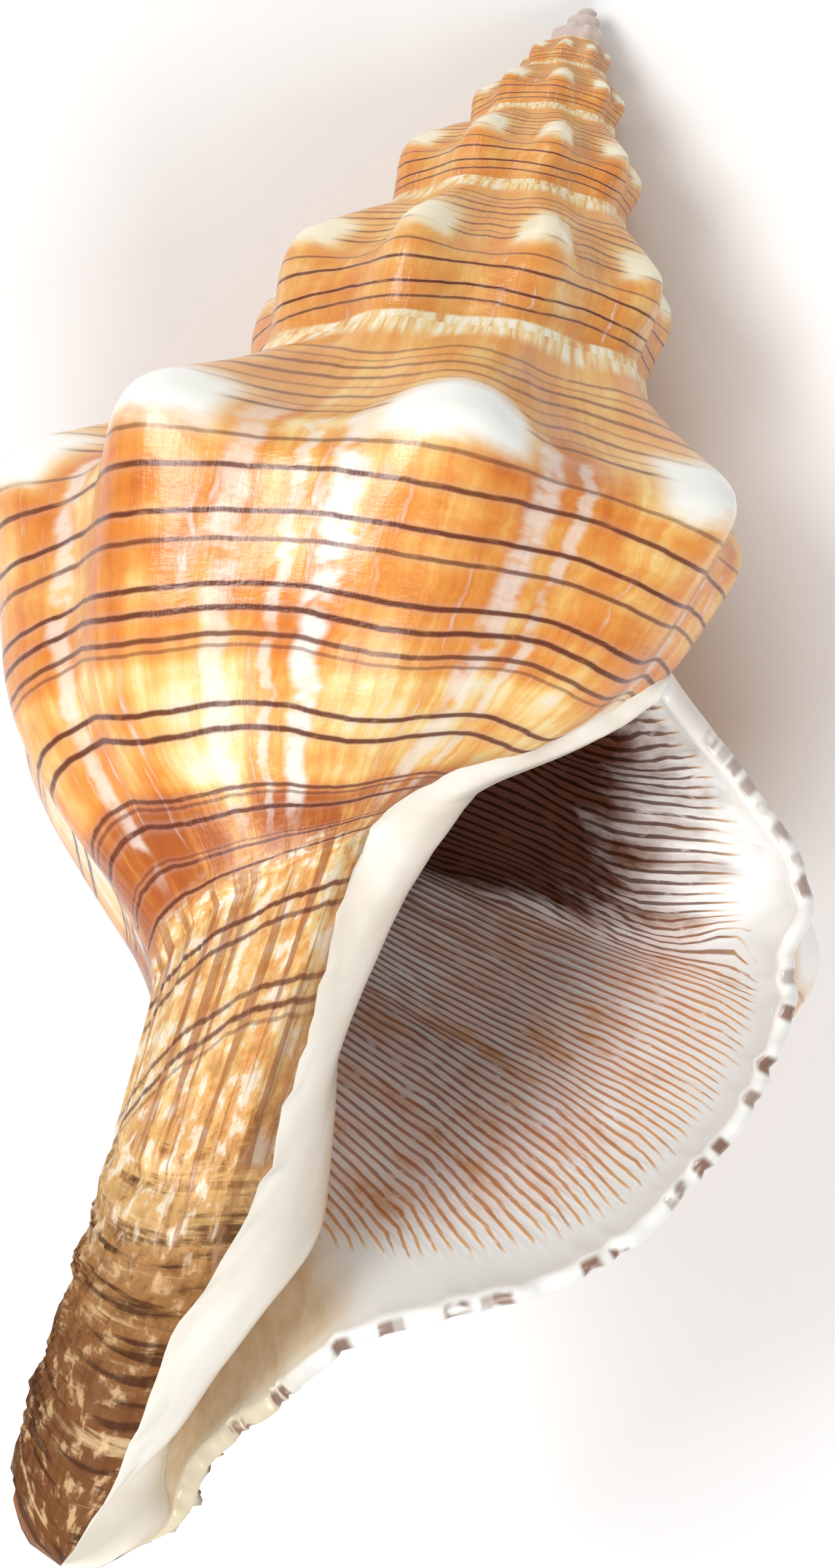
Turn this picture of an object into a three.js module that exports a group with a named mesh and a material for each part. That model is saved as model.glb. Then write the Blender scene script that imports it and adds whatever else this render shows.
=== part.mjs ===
// Conch shell, grown as one piece: a coiled cone whose whorls widen as they wind down from the
// apex, a knobbed shoulder, a wide mouth, a white inner lip and a short open canal at the foot.
// Millimetres, +Z up. The shell lies on its back with the mouth up and the apex towards +Y.
import * as THREE from "three";

// ---- growth of the coil (turns are counted back from the outer lip, so the lip is turn 0) ----
const TURN = 2 * Math.PI;
const GROW_RADIUS = 1.663; // widening in one turn
const GROW_HEIGHT = 1.707; // lengthening in one turn
const LIP_ANGLE = 0.0184; // angle of the lip about the axis
const FIRST_TURN = -6; // the coil starts here, at the apex
const FOOT_Z = -149.6; // foot of the canal below the apex

// ---- places across a whorl ----
const SEAM = 0.8; // the next whorl is laid on the earlier one here
const NECK = 1.4; // the whorl ends and the canal begins
const FOOT = 2.0; // end of the canal

// ---- section of the last whorl along a knob: [across, radius, height] ----
const RIDGE = [
  [0.0, 25.0, -58.5], [0.08, 29.3, -62.6], [0.17, 35.0, -67.2], [0.25, 41.5, -71.4],
  [0.31, 46.0, -74.2], [0.36, 48.6, -76.9], [0.41, 49.2, -80.0], [0.48, 48.2, -83.6],
  [0.57, 46.2, -88.6], [0.68, 43.9, -94.2], [0.8, 41.6, -99.9], [0.9, 38.9, -105.6],
  [1.0, 34.8, -111.0], [1.1, 28.9, -116.2], [1.2, 22.2, -120.6], [1.3, 16.2, -124.6],
  [1.4, 12.6, -128.8],
];
// how far the hollow between two knobs lies inside that: [across, inwards, down]
const HOLLOW = [
  [0.0, 0.6, 0.0], [0.08, 2.0, 1.4], [0.17, 4.8, 2.6], [0.25, 7.0, 3.4], [0.31, 8.2, 3.2],
  [0.36, 8.4, 2.4], [0.41, 7.4, 1.4], [0.48, 5.8, 0.6], [0.57, 4.6, 0.0], [0.68, 3.8, 0.0],
  [0.8, 3.2, 0.0], [0.9, 3.0, 0.0], [1.0, 2.8, 0.0], [1.1, 2.2, 0.0], [1.2, 1.2, 0.0],
  [1.3, 0.4, 0.0], [1.4, 0.0, 0.0],
];
// the knobs of the spire stand out less than those of the last whorl: [across, inwards]
const SPIRE_SHOULDER = [[0.0, 0], [0.17, 0], [0.31, 3.2], [0.38, 4.6], [0.5, 3.2], [0.7, 1.0], [0.8, 0]];
// share of that hollow's depth kept at the lip itself: [across, share]
const LIP_HOLLOW = [[0, 0], [0.2, 0], [0.3, 0.4], [0.38, 0.9], [0.5, 0.8], [0.6, 0.55], [0.7, 0.3],
  [0.9, 0.2], [1.0, 0], [1.1, 0], [1.25, 0.8], [1.4, 1]];
// how far the base is drawn in on the lip's back: [across, inwards]
const WAIST = [[0, 0], [0.8, 0], [0.9, 2.4], [1.0, 4.8], [1.12, 5.6], [1.22, 3.8], [1.32, 1.2], [1.4, 0]];
// every knob, from in front of the lip back up the spire: [turn, height]
const KNOBS = [
  [0.06, 1], [-0.06, 1.15], [-0.17, 1], [-0.29, 1], [-0.4, 1], [-0.505, 1], [-0.61, 1],
  [-0.745, 1], [-0.89, 1], [-0.99, 0.45], [-1.1, 0.5], [-1.215, 0.9], [-1.33, 1], [-1.445, 1],
  [-1.56, 1], [-1.67, 1], [-1.775, 1], [-1.895, 1], [-2.02, 1], [-2.15, 1], [-2.28, 1],
  [-2.41, 1], [-2.535, 1], [-2.66, 1], [-2.76, 1], [-2.875, 1], [-3.015, 1],
];
const KNOB_STEP = 0.12; // spacing of the knobs on the small whorls above

// ---- canal and lip ----
const CANAL_RADIUS = 8.8;
const CANAL_FLARE = [[0, 2.8], [0.2, 1.4], [0.4, -0.2], [0.55, -1.2], [0.75, -0.9], [1, 0]];
const CANAL_SWAY = [[-150, -2.0], [-135, 0], [-110, 0], [-90, 0.5], [-60, 1.0], [-30, 0], [0, 0]];
const LIP_LIFT = 2.5; // how much higher the canal ends at the lip
const LIP_EDGE = 1.8; // thickness of the rounded edge of the lip
const LIP_WALL = 3.2; // thickness of the wall behind it
// where the white inner lip begins on the last whorl: [across, turn]
const INNER_LIP = [[0.8, -1], [0.85, -0.965], [1.0, -0.935], [1.1, -0.9], [1.2, -0.85],
  [1.3, -0.818], [1.4, -0.805], [1.5, -0.81], [1.6, -0.828], [1.7, -0.825], [1.76, -0.8],
  [1.82, -0.76], [1.9, -0.77], [2.0, -0.77]];
const INNER_LIP_RISE = 1.2; // thickness of the inner lip
// radius of the pillar from the earlier whorl (0) down to the canal (1)
const PILLAR = [[0, 9.4], [0.1, 8.6], [0.18, 7.4], [0.35, 6.1], [0.52, 8.6], [0.61, 9.8],
  [0.69, 10.3], [0.76, 8.4], [0.86, 5.4], [0.94, 4.0], [1, 3.5]];
const GROOVE_TURN = 0.25; // the groove of the canal closes this far behind the lip
const EDGE_TURN = 0.02; // share of the inner lip taken up while the outer lip rounds over
const MOUTH_DEPTH = 0.95; // turns of the hollow behind the mouth

// ---- how the shell lies, degrees ----
const REST_PITCH = -29.88;
const REST_ROLL = 5.8;
const REST_YAW = -3.1;

// ---- fineness ----
const COLUMNS = 48; // round one turn
const WHORL_ROWS = 9; // from seam to seam
const FOOT_ROWS = 15; // from the seam to the foot
const FLOOR_ROWS = 2; // across the floor of the groove
const EDGE_STEPS = 3; // round the edge of the lip
const MOUTH_STEPS = 26; // rings down the hollow

const clamp = (x) => Math.min(Math.max(x, 0), 1);
const ease = (x) => clamp(x) ** 2 * (3 - 2 * clamp(x));
const mix = (a, b, k) => a + (b - a) * k;

/** Smooth curve through a table; every row is [place, value, value...]. */
function curve(table, x) {
  let i = 0;
  while (i < table.length - 2 && x > table[i + 1][0]) i += 1;
  const slope = (k, c) => {
    const a = table[Math.max(k - 1, 0)];
    const b = table[Math.min(k + 1, table.length - 1)];
    return (b[c] - a[c]) / (b[0] - a[0]);
  };
  const [p, q] = [table[i], table[i + 1]];
  const step = q[0] - p[0];
  const k = clamp((x - p[0]) / step);
  return p.slice(1).map((value, n) => {
    const c = n + 1;
    return value * (1 + 2 * k) * (1 - k) ** 2 + q[c] * k * k * (3 - 2 * k)
      + step * (slope(i, c) * k * (1 - k) ** 2 - slope(i + 1, c) * k * k * (1 - k));
  });
}

/** Height of the knobs at a turn: 1 on a knob, 0 in the hollow between two. */
function knob(turn, across) {
  let phase = (KNOBS[KNOBS.length - 1][0] - turn) / KNOB_STEP;
  let tall = 1;
  for (let i = 0; i < KNOBS.length - 1; i += 1) {
    const [[next, high], [back, low]] = [KNOBS[i], KNOBS[i + 1]];
    if (turn <= next && turn > back) {
      phase = (next - turn) / (next - back);
      tall = mix(high, low, phase);
    }
  }
  const sharp = 0.9 + 0.5 * ease(1 - Math.abs(across - 0.34) / 0.4);
  return (0.5 + 0.5 * Math.cos(TURN * phase)) ** sharp * tall;
}

/** Radius and height of a whorl before growth is applied. */
function band(turn, across, relief) {
  const [radius, height] = curve(RIDGE, across);
  const [inwards, down] = curve(HOLLOW, across);
  const spire = curve(SPIRE_SHOULDER, Math.min(across, SEAM))[0] * (1 - ease((turn + 1.5) / 0.5));
  const waist = curve(WAIST, across)[0] * ease((turn + 0.54) / 0.13) * ease(-turn / 0.25);
  const kept = mix(1, curve(LIP_HOLLOW, across)[0], ease(1 + turn / 0.08));
  const low = (1 - knob(turn, across) * relief) * ease((turn + 7) / 2) * kept;
  return [radius - spire - waist - inwards * low, height - down * low];
}

/** A point of the outside. Relief 1 has the knobs, relief 0 follows the hollows between them. */
function outside(turn, across, relief = 1) {
  const place = Math.min(across, NECK);
  let [radius, height] = band(turn, place, relief);
  const fade = 1 - ease(place / 0.12);
  const laid = band(turn - 1, SEAM, 1);
  const own = band(turn, 0, relief);
  radius += (laid[0] / GROW_RADIUS - own[0]) * fade;
  height += (laid[1] / GROW_HEIGHT - own[1]) * fade;
  radius *= GROW_RADIUS ** turn;
  height *= GROW_HEIGHT ** turn;
  const along = (across - NECK) / (FOOT - NECK);
  if (along > 0) {
    const flare = curve(CANAL_FLARE, along)[0] * ease((turn + 0.35) / 0.35);
    const round = Math.sqrt(Math.max(1 - Math.max((along - 0.7) / 0.3, 0) ** 2, 0));
    const settle = 1 - (1 - clamp(along / 0.35)) ** 2;
    radius = mix(radius, CANAL_RADIUS + flare, settle) * round;
    const lift = ease(along / 0.7) * (1 - ease((along - 0.93) / 0.07)) * ease(1 + turn / 0.25);
    height = mix(height, FOOT_Z, along) + LIP_LIFT * lift;
  }
  const angle = LIP_ANGLE - TURN * turn;
  return new THREE.Vector3(radius * Math.cos(angle), radius * Math.sin(angle), height);
}

/** Direction into the shell at a point of the outside. */
function inwards(turn, across) {
  const d = 0.004;
  const place = Math.min(Math.max(across, d), FOOT - 0.08);
  const along = outside(turn + d, place, 0).sub(outside(turn - d, place, 0));
  const down = outside(turn, place + d, 0).sub(outside(turn, place - d, 0));
  return down.cross(along).normalize();
}

/** Inside of the outer wall, a number of turns behind the lip, under a given thickness. */
function innerWall(behind, beyond, across, thickness) {
  const foot = 1 - ease((across - 1.8) / 0.2);
  const angle = LIP_ANGLE + TURN * behind;
  const corner = new THREE.Vector3(-0.15 * Math.cos(angle), -0.15 * Math.sin(angle), -1.35);
  const towards = inwards(-behind, across).lerp(corner, 1 - ease(across / 0.2));
  return outside(beyond - behind, across, 0).addScaledVector(towards, thickness * foot);
}

/** One side of the mouth: the earlier whorl under the inner lip, then the pillar. */
function innerSide(behind, share, across, bottom) {
  const begin = curve(INNER_LIP, across)[0];
  const turn = behind > GROOVE_TURN ? -1 - behind : mix(begin, -1 - GROOVE_TURN, share);
  const rise = INNER_LIP_RISE * ease(share / 0.1);
  const relief = 1 - ease(share / 0.15);
  const neck = Math.min(across, NECK);
  const point = outside(turn, neck, relief).addScaledVector(inwards(turn, neck), -rise);
  if (across <= NECK) return point;
  const along = (across - NECK) / (FOOT - NECK);
  const z = mix(point.z, bottom, along);
  const canal = outside(begin, across, relief);
  const pillar = curve(PILLAR, along)[0] * GROW_RADIUS ** -Math.max(behind - 0.11, 0);
  const radius = mix(Math.hypot(canal.x, canal.y), pillar, ease(share / 0.5));
  const angle = LIP_ANGLE - TURN * turn;
  const settle = ease(along / 0.12);
  return new THREE.Vector3(
    mix(point.x, radius * Math.cos(angle), settle),
    mix(point.y, radius * Math.sin(angle), settle),
    z,
  );
}

/** Collects points and faces of the closed surface. */
class Surface {
  constructor() {
    this.points = [];
    this.faces = [];
  }

  point(p) {
    this.points.push(p);
    return this.points.length - 1;
  }

  /** Two triangles, or one where two corners are the same. */
  quad(a, b, c, d) {
    for (const [i, j, k] of [[a, b, c], [a, c, d]]) {
      if (i !== j && j !== k && k !== i) this.faces.push([i, j, k]);
    }
  }

  /** Quads between two rows of points with the same number of members. */
  strip(first, second) {
    for (let i = 0; i < first.length - 1; i += 1) {
      this.quad(first[i], second[i], second[i + 1], first[i + 1]);
    }
  }
}

/** The wound band from the apex to the lip; returns its columns of point numbers. */
function windWhorls(surface) {
  const columns = [];
  const apex = surface.point(new THREE.Vector3(0, 0, -0.8));
  const total = -FIRST_TURN * COLUMNS;
  for (let c = 0; c <= total; c += 1) {
    const turn = FIRST_TURN + c / COLUMNS;
    const column = [c < COLUMNS ? apex : columns[c - COLUMNS][WHORL_ROWS]];
    for (let row = 1; row <= WHORL_ROWS; row += 1) {
      column.push(surface.point(outside(turn, SEAM * row / WHORL_ROWS)));
    }
    columns.push(column);
  }
  for (let c = 0; c < total; c += 1) surface.strip(columns[c], columns[c + 1]);
  for (let row = 1; row < WHORL_ROWS; row += 1) {
    surface.faces.push([apex, columns[0][row], columns[0][row + 1]]);
  }
  return columns.slice(total - COLUMNS);
}

/** The base of the last whorl and the outside of the canal, from the seam to the foot. */
function windBase(surface, seam) {
  const foot = surface.point(outside(-0.5, FOOT));
  const columns = [];
  for (let c = 0; c <= COLUMNS; c += 1) {
    const column = [seam[c]];
    for (let row = 1; row < FOOT_ROWS; row += 1) {
      const across = mix(SEAM, FOOT, row / FOOT_ROWS);
      const begin = curve(INNER_LIP, across)[0];
      column.push(surface.point(outside(begin * (1 - c / COLUMNS), across)));
    }
    column.push(foot);
    columns.push(column);
  }
  for (let c = 0; c < COLUMNS; c += 1) surface.strip(columns[c], columns[c + 1]);
  return columns;
}

/** One ring of the hollow: down the outer wall, over the floor of the groove, up the inner side. */
function mouthRing(surface, behind, edge) {
  const share = clamp((behind + EDGE_TURN * edge) / (GROOVE_TURN + EDGE_TURN));
  const bulge = 0.0035 * Math.sin(Math.PI * edge);
  const grown = GROW_RADIUS ** (-0.6 * behind);
  const thickness = (LIP_EDGE * (1 - Math.cos(Math.PI * edge)) / 2
    + (LIP_WALL - LIP_EDGE) * ease(behind / 0.1)) * grown;
  const lowest = mix(FOOT, NECK, share);
  const wall = [];
  for (let row = 0; row <= WHORL_ROWS + FOOT_ROWS; row += 1) {
    let across = row < WHORL_ROWS ? SEAM * row / WHORL_ROWS
      : mix(SEAM, FOOT, (row - WHORL_ROWS) / FOOT_ROWS);
    if (across > 1.3) across = mix(1.3, lowest, (across - 1.3) / (FOOT - 1.3));
    wall.push(innerWall(behind, bulge, across, thickness));
  }
  const bottom = wall[wall.length - 1];
  const side = [];
  for (let row = FOOT_ROWS; row > 0; row -= 1) {
    const across = mix(SEAM, FOOT, row / FOOT_ROWS);
    side.push(innerSide(behind, share, across, bottom.z));
  }
  const corner = wall[0].clone().sub(innerSide(behind, share, SEAM, bottom.z));
  side.forEach((point, i) => {
    const up = (FOOT_ROWS - i) / FOOT_ROWS;
    point.addScaledVector(corner, 1 - ease(up / 0.1));
  });
  const floor = [];
  for (let k = 1; k <= FLOOR_ROWS; k += 1) {
    floor.push(bottom.clone().lerp(side[0], k / (FLOOR_ROWS + 1)));
  }
  return [...wall, ...floor, ...side].map((p) => surface.point(p));
}

/** The hollow behind the mouth: rings of points, closed by a flat end. */
function hollowMouth(surface, whorl, base) {
  const lip = [...whorl[COLUMNS], ...base[COLUMNS].slice(1)];
  const foot = lip[lip.length - 1];
  const inner = base[0].slice(1, FOOT_ROWS).reverse();
  let ring = [...lip, ...Array(FLOOR_ROWS + 1).fill(foot), ...inner];
  const rings = [];
  for (let k = 1; k <= EDGE_STEPS; k += 1) rings.push([0, k / EDGE_STEPS]);
  for (let k = 1; k <= MOUTH_STEPS; k += 1) rings.push([MOUTH_DEPTH * (k / MOUTH_STEPS) ** 1.4, 1]);
  for (const [behind, edge] of rings) {
    const next = mouthRing(surface, behind, edge);
    surface.strip([...ring, ring[0]], [...next, next[0]]);
    ring = next;
  }
  closeEnd(surface, ring);
}

/** Closes a ring by walking both ways from its corner and always taking the shorter crossing. */
function closeEnd(surface, ring) {
  const reach = (i, j) => surface.points[ring[i]].distanceTo(surface.points[ring[j]]);
  let low = 0;
  let high = ring.length - 1;
  while (high - low > 1) {
    if (reach(low + 1, high) < reach(low, high - 1)) {
      surface.faces.push([ring[low], ring[high], ring[low + 1]]);
      low += 1;
    } else {
      surface.faces.push([ring[low], ring[high], ring[high - 1]]);
      high -= 1;
    }
  }
}

/** Slight sideways lean of the axis, then the turn into the lying position. */
function layDown(points) {
  const rest = new THREE.Matrix4()
    .makeRotationZ(THREE.MathUtils.degToRad(REST_YAW))
    .multiply(new THREE.Matrix4().makeRotationY(THREE.MathUtils.degToRad(REST_ROLL)))
    .multiply(new THREE.Matrix4().makeRotationX(THREE.MathUtils.degToRad(REST_PITCH - 90)));
  for (const p of points) {
    p.x += curve(CANAL_SWAY, Math.max(Math.min(p.z, 0), FOOT_Z))[0];
    p.applyMatrix4(rest);
  }
  const box = new THREE.Box3().setFromPoints(points);
  const centre = box.getCenter(new THREE.Vector3());
  for (const p of points) p.sub(new THREE.Vector3(centre.x, centre.y, box.min.z));
}

function buildShell() {
  const surface = new Surface();
  const whorl = windWhorls(surface);
  const base = windBase(surface, whorl.map((column) => column[WHORL_ROWS]));
  hollowMouth(surface, whorl, base);
  layDown(surface.points);
  const geometry = new THREE.BufferGeometry();
  const positions = surface.points.flatMap((p) => [p.x, p.y, p.z]);
  geometry.setAttribute("position", new THREE.Float32BufferAttribute(positions, 3));
  geometry.setIndex(surface.faces.flat());
  geometry.computeVertexNormals();
  const material = new THREE.MeshStandardMaterial({ color: "#d9a15c", roughness: 0.35, metalness: 0 });
  const mesh = new THREE.Mesh(geometry, material);
  mesh.name = "shell";
  return mesh;
}

const shell = new THREE.Group();
shell.name = "conch_shell";
shell.add(buildShell());
export default shell;
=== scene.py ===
"""A conch shell lying on its back on a pale floor, mouth up.

The shell is one closed surface wound about an axis. Every point has a place on it: the turn,
counted in whole turns back from the outer lip, and the place across the whorl, from the seam
above (0) over the next seam (0.8) and the neck (1.4) to the foot of the canal (2).
Lengths are in millimetres in the shell's own axes, with its apex at the origin and its axis
along Z, until lay_down puts the shell in the row frame in metres.
"""
import math

import bpy
import numpy as np
from mathutils import Matrix, Vector


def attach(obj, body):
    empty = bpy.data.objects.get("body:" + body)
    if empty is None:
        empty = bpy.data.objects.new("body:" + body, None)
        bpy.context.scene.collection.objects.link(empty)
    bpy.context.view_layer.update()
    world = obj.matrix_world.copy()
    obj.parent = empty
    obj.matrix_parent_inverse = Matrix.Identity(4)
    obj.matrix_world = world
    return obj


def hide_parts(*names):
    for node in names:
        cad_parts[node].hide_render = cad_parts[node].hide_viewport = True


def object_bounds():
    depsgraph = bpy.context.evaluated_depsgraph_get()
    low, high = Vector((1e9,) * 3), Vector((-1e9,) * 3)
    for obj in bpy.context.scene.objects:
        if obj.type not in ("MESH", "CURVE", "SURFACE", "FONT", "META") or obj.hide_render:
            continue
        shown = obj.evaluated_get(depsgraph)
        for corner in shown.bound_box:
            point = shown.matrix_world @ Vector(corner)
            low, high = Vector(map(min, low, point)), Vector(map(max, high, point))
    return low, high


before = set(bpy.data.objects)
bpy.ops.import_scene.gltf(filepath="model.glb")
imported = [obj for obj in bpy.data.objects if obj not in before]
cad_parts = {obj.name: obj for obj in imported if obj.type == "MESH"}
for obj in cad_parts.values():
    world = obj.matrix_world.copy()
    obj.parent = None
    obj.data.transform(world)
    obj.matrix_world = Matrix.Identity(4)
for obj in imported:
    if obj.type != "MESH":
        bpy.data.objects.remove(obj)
cad_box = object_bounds()

TURN = 2 * math.pi
MM = 0.001

# growth of the coil
GROW_RADIUS = 1.663
GROW_HEIGHT = 1.707
LIP_ANGLE = 0.0184
FOOT_Z = -149.6
SEAM, NECK, FOOT = 0.8, 1.4, 2.0

# section of the last whorl along a knob: across, radius, height
RIDGE = np.array([
    [0.0, 25.0, -58.5], [0.08, 29.3, -62.6], [0.17, 35.0, -67.2], [0.25, 41.5, -71.4],
    [0.31, 46.0, -74.2], [0.36, 48.6, -76.9], [0.41, 49.2, -80.0], [0.48, 48.2, -83.6],
    [0.57, 46.2, -88.6], [0.68, 43.9, -94.2], [0.8, 41.6, -99.9], [0.9, 38.9, -105.6],
    [1.0, 34.8, -111.0], [1.1, 28.9, -116.2], [1.2, 22.2, -120.6], [1.3, 16.2, -124.6],
    [1.4, 12.6, -128.8],
])
# how far the hollow between two knobs lies inside that: across, inwards, down
HOLLOW = np.array([
    [0.0, 0.6, 0.0], [0.08, 2.0, 1.4], [0.17, 4.8, 2.6], [0.25, 7.0, 3.4], [0.31, 8.2, 3.2],
    [0.36, 8.4, 2.4], [0.41, 7.4, 1.4], [0.48, 5.8, 0.6], [0.57, 4.6, 0.0], [0.68, 3.8, 0.0],
    [0.8, 3.2, 0.0], [0.9, 3.0, 0.0], [1.0, 2.8, 0.0], [1.1, 2.2, 0.0], [1.2, 1.2, 0.0],
    [1.3, 0.4, 0.0], [1.4, 0.0, 0.0],
])
# the spire's knobs stand out less than the last whorl's: across, inwards
SPIRE_SHOULDER = np.array(
    [[0.0, 0], [0.17, 0], [0.31, 3.2], [0.38, 4.6], [0.5, 3.2], [0.7, 1.0], [0.8, 0]])
# share of that hollow's depth kept at the lip itself
LIP_HOLLOW = np.array([[0, 0], [0.2, 0], [0.3, 0.4], [0.38, 0.9], [0.5, 0.8], [0.6, 0.55],
                       [0.7, 0.3], [0.9, 0.2], [1.0, 0], [1.1, 0], [1.25, 0.8], [1.4, 1]])
# the turn of every knob, from in front of the lip back up the spire, and its height
KNOBS = np.array([
    [0.06, 1], [-0.06, 1.15], [-0.17, 1], [-0.29, 1], [-0.4, 1], [-0.505, 1], [-0.61, 1],
    [-0.745, 1], [-0.89, 1], [-0.99, 0.45], [-1.1, 0.5], [-1.215, 0.9], [-1.33, 1], [-1.445, 1],
    [-1.56, 1], [-1.67, 1], [-1.775, 1], [-1.895, 1], [-2.02, 1], [-2.15, 1], [-2.28, 1],
    [-2.41, 1], [-2.535, 1], [-2.66, 1], [-2.76, 1], [-2.875, 1], [-3.015, 1]])
KNOB_STEP = 0.12
SEAM_BEAD = 0.9
# how far the base is drawn in on the lip's back: across, inwards
WAIST = np.array([[0, 0], [0.8, 0], [0.9, 2.4], [1.0, 4.8], [1.12, 5.6], [1.22, 3.8], [1.32, 1.2],
                  [1.4, 0]])

# canal, lips and pillar
CANAL_RADIUS = 8.8
CANAL_FLARE = np.array([[0, 2.8], [0.2, 1.4], [0.4, -0.2], [0.55, -1.2], [0.75, -0.9], [1, 0]])
CANAL_SWAY = np.array(
    [[-150, -2.0], [-135, 0], [-110, 0], [-90, 0.5], [-60, 1.0], [-30, 0], [0, 0]])
LIP_EDGE, LIP_WALL = 1.8, 3.2
LIP_BULGE = 0.0045  # how far, in turns, the rounded edge reaches in front of the lip
LIP_NOTCH = 0.55  # how deep the lip dips where a dark line ends in it
INNER_LIP = np.array([[0.8, -1], [0.85, -0.965], [1.0, -0.935], [1.1, -0.9], [1.2, -0.85],
                      [1.3, -0.818], [1.4, -0.805], [1.5, -0.81], [1.6, -0.828], [1.7, -0.825],
                      [1.76, -0.8], [1.82, -0.76], [1.9, -0.77], [2.0, -0.77]])
LIP_LIFT = 2.5
INNER_LIP_RISE = 1.2
PILLAR = np.array([[0, 9.4], [0.1, 8.6], [0.18, 7.4], [0.35, 6.1], [0.52, 8.6], [0.61, 9.8],
                   [0.69, 10.3], [0.76, 8.4], [0.86, 5.4], [0.94, 4.0], [1, 3.5]])
# how far the dark lines sag on the knobs, and how far they drift down or up: across, across
LINE_SAG = np.array([[0, 0], [0.08, 0.01], [0.15, 0.06], [0.22, 0.1], [0.3, 0.11], [0.4, 0.05],
                     [0.5, 0.034], [1.1, 0.034], [1.25, 0.02], [1.4, 0], [2.0, 0]])
LINE_DRIFT = np.array([[0, 0.005], [0.3, 0.01], [0.5, 0.03], [0.8, 0.04], [1.0, 0.06], [1.3, 0.07],
                       [1.43, 0], [1.53, -0.05], [1.6, -0.05], [1.75, 0], [2.0, 0]])
# how far behind the lip the painted shade on the mouth's wall begins
SHADE_START = np.array([[0, 0.0], [0.08, 0.0], [0.2, 0.015], [0.3, 0.045], [0.4, 0.12], [0.5, 0.16],
                       [0.65, 0.2], [0.8, 0.26], [1.0, 0.28], [1.2, 0.24], [1.4, 0.18], [2.0, 0.18]])
SHADE_OVER = 0.09  # turns over which the painted shade darkens
# the threads of the mouth's wall: how far they rise, and how far behind the lip they begin
THREAD_STEP = 0.0175
THREAD_HEIGHT = 0.24
THREADS_END = 1.3  # the place across, just above the neck, where the threads and their rows end
THREAD_RISE = np.array([[0, 0], [0.1, 0], [0.2, 0.03], [0.35, 0.08], [0.5, 0.03], [0.75, 0.055],
                        [1.0, 0.055], [1.1, 0.05], [1.3, 0.03], [1.4, 0.02], [2.0, 0]])
THREAD_START = np.array([[0, 0.01], [0.1, 0.01], [0.18, 0.02], [0.3, 0.036], [0.4, 0.02],
                         [0.9, 0.02], [1.05, 0.03], [1.15, 0.045], [1.22, 0.065], [1.3, 0.12],
                         [1.4, 0.4], [2.0, 0.4]])
GROOVE_TURN = 0.25
EDGE_TURN = 0.02
MOUTH_DEPTH = 0.95

# third number of a face corner's place; it runs from the first to the second round the lip's edge
OUTSIDE_ZONE, WALL_ZONE, INNER_ZONE = 0.0, 1.0, 2.0

# how the shell lies, in degrees
REST_PITCH, REST_ROLL, REST_YAW = -29.88, 5.8, -3.1

# camera, in the shell's own axes: radians, millimetres from it to the apex, lens and sensor
CAMERA_TILT, CAMERA_ROLL = -0.2510, 0.3097
CAMERA_AWAY = (16.0567, -71.7951, 435.2589)
CAMERA_LENS, CAMERA_SENSOR = 108.9, 36.0

# lamps: name, place in metres, size, power
LAMPS = [("key_lamp", (-0.45, 0.25, 0.75), 0.35, 4.4), ("fill_lamp", (0.25, -0.45, 0.8), 0.6, 5.4)]
ROOM_LIGHT = 0.42
FLOOR_SIZE, FLOOR_GREY = 6.0, 0.9

# fineness
WHORL_COLUMNS = (288, 288, 144, 144, 72, 72, 36, 36)  # from the last whorl up to the apex
WHORL_ROWS = 36
FOOT_ROWS = 96
FLOOR_ROWS = 6
EDGE_STEPS = 7
MOUTH_STEPS = 52
THREAD_ROWS = 4  # rows of the mouth's wall for one row of the outside


def ease(x):
    """0 below 0, 1 above 1, and 3x^2 - 2x^3 between."""
    x = np.clip(x, 0.0, 1.0)
    return x * x * (3 - 2 * x)


def mix(a, b, k):
    """The value the share k of the way from a to b."""
    return a + (b - a) * k


def curve(table, x):
    """Smooth curve through the rows of a table (place, values...): a cubic between each two rows,
    whose slope at a row is that of the line between its two neighbours."""
    places, values = np.asarray(table, float)[:, 0], np.asarray(table, float)[:, 1:]
    n = len(places)
    before, after = np.maximum(np.arange(n) - 1, 0), np.minimum(np.arange(n) + 1, n - 1)
    slopes = (values[after] - values[before]) / (places[after] - places[before])[:, None]
    x = np.asarray(x, float)
    i = np.clip(np.searchsorted(places, x, side="right") - 1, 0, n - 2)
    step = (places[i + 1] - places[i])[..., None]
    k = np.clip((x[..., None] - places[i][..., None]) / step, 0, 1)
    return (values[i] * (1 + 2 * k) * (1 - k) ** 2 + values[i + 1] * k * k * (3 - 2 * k)
            + step * (slopes[i] * k * (1 - k) ** 2 - slopes[i + 1] * k * k * (1 - k)))


def knob(turn, across):
    """Height of the knobs: a raised cosine of the turn between neighbouring knobs, sharper on the
    shoulder than elsewhere."""
    more = np.arange(1, 80)
    turns = np.concatenate([KNOBS[:, 0], KNOBS[-1, 0] - KNOB_STEP * more])
    phase = np.interp(-turn, -turns, np.arange(len(turns)))
    tall = np.interp(-turn, -KNOBS[:, 0], KNOBS[:, 1])
    sharp = 0.9 + 0.5 * ease(1 - np.abs(across - 0.34) / 0.4)
    return (0.5 + 0.5 * np.cos(TURN * phase)) ** sharp * tall


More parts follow.
